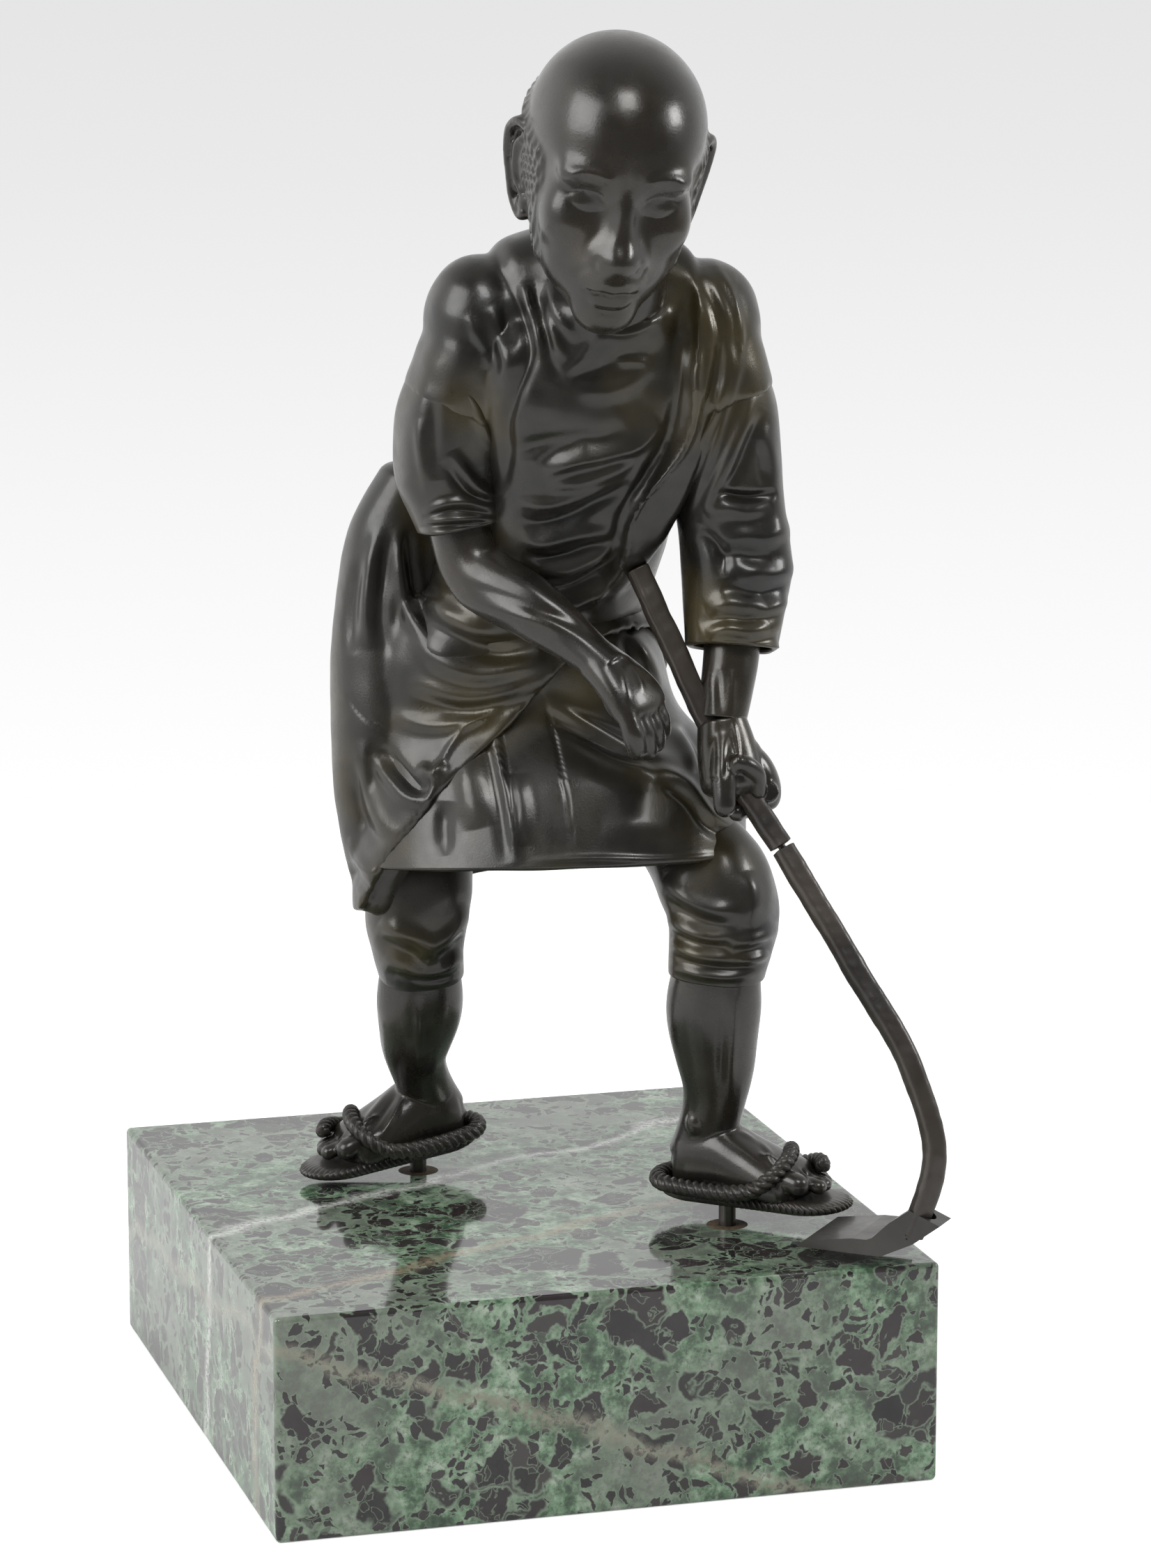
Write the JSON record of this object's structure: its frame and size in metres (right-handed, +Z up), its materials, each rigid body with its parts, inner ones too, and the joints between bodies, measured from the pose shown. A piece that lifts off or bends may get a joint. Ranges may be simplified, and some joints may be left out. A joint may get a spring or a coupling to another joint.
{
  "type": "okimono carving",
  "caption": "Dark bronze display figure of an old farm worker who leans on a long hoe, standing on a polished green marble block.",
  "frame": {"origin": "centre of the marble block's underside, where it rests on the table", "axes": "+Z up, +X to the hoe's side of the block, the figure faces -Y"},
  "size_m": [0.1946, 0.223, 0.4095],
  "materials": {
    "patinated_bronze": "dark patinated bronze, satin",
    "bronze_straw": "dark patinated bronze cast as straw",
    "raw_bronze": "bare turned bronze",
    "peg_steel": "dull steel",
    "green_marble": "polished green breccia with maroon clasts",
    "brown_filler": "matt brown filler",
    "handle_bronze": "brown patinated bronze cast as wood",
    "blade_bronze": "dark patinated bronze"
  },
  "bodies": {
    "base": {"marble_base": "green_marble", "front_peg_bush": "brown_filler", "rear_peg_bush": "brown_filler"},
    "figure": {"torso_casting": "patinated_bronze", "head_casting": "patinated_bronze", "right_sleeve_casting": "patinated_bronze", "left_sleeve_casting": "patinated_bronze", "right_forearm_casting": "patinated_bronze", "left_forearm_casting": "patinated_bronze", "left_hand_casting": "patinated_bronze", "skirt_casting": "patinated_bronze", "robe_casting": "patinated_bronze", "right_trouser_casting": "patinated_bronze", "left_trouser_casting": "patinated_bronze", "right_leg_casting": "patinated_bronze", "left_leg_casting": "patinated_bronze", "right_sandal_sole": "bronze_straw", "left_sandal_sole": "bronze_straw", "right_sandal_rope": "bronze_straw", "left_sandal_rope": "bronze_straw", "neck_tenon": "raw_bronze", "right_arm_tenon": "raw_bronze", "left_arm_tenon": "raw_bronze", "right_elbow_tenon": "raw_bronze", "left_elbow_tenon": "raw_bronze", "left_wrist_tenon": "raw_bronze", "left_hip_tenon": "raw_bronze", "right_hip_tenon": "raw_bronze", "left_knee_tenon": "raw_bronze", "right_knee_tenon": "raw_bronze", "front_peg": "peg_steel", "rear_peg": "peg_steel", "upper_hoe_handle": "handle_bronze", "handle_joint_pin": "raw_bronze"},
    "hoe": {"lower_hoe_handle": "handle_bronze", "hoe_head": "blade_bronze"}
  },
  "joints": [
    {"name": "figure_lift", "type": "slide", "parent": "base", "child": "figure", "axis": [0, 0, 1], "range_m": [0, 0.02]},
    {"name": "hoe_pull", "type": "slide", "parent": "figure", "child": "hoe", "axis": [0.4517, -0.3846, -0.805], "range_m": [0, 0.0035]}
  ]
}
